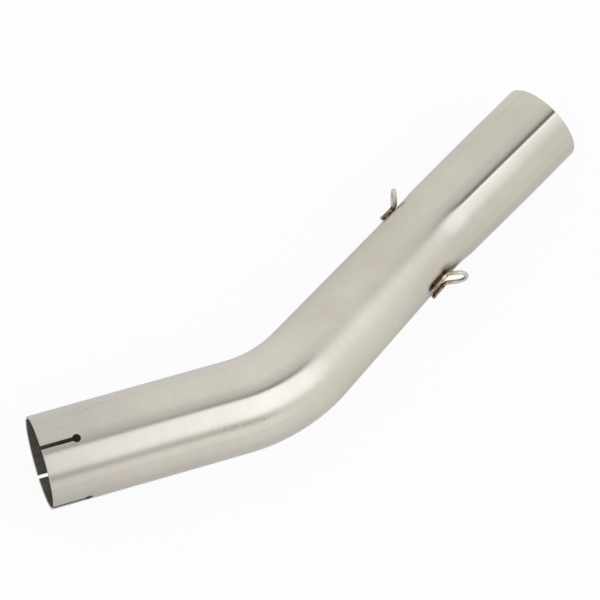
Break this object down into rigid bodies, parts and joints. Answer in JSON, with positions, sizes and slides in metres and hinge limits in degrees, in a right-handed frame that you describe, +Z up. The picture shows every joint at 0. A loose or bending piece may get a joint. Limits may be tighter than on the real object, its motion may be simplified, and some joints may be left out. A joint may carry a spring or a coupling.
{
  "type": "exhaust mid pipe",
  "caption": "Bent, tapered exhaust link pipe with a slotted slip-over inlet, a waist, a plain outlet spigot and a wire spring hook on either side.",
  "frame": {"origin": "centre of the slotted inlet's mouth", "axes": "+X runs down the inlet leg with the gas flow, so -X points out of the inlet; the pipe bends towards +Y in the plane Z = 0; +Z is up as the pipe lies on its side"},
  "size_m": [0.354, 0.1654, 0.0534],
  "materials": {
    "tube": "satin stainless",
    "hook_wire": "satin, straw heat tint by the welds",
    "weld_metal": "heat-tinted bronze"
  },
  "bodies": {
    "root": {"mid_pipe": "tube", "outer_spring_hook": "hook_wire", "inner_spring_hook": "hook_wire", "outer_hook_welds": "weld_metal", "inner_hook_welds": "weld_metal"}
  },
  "joints": []
}
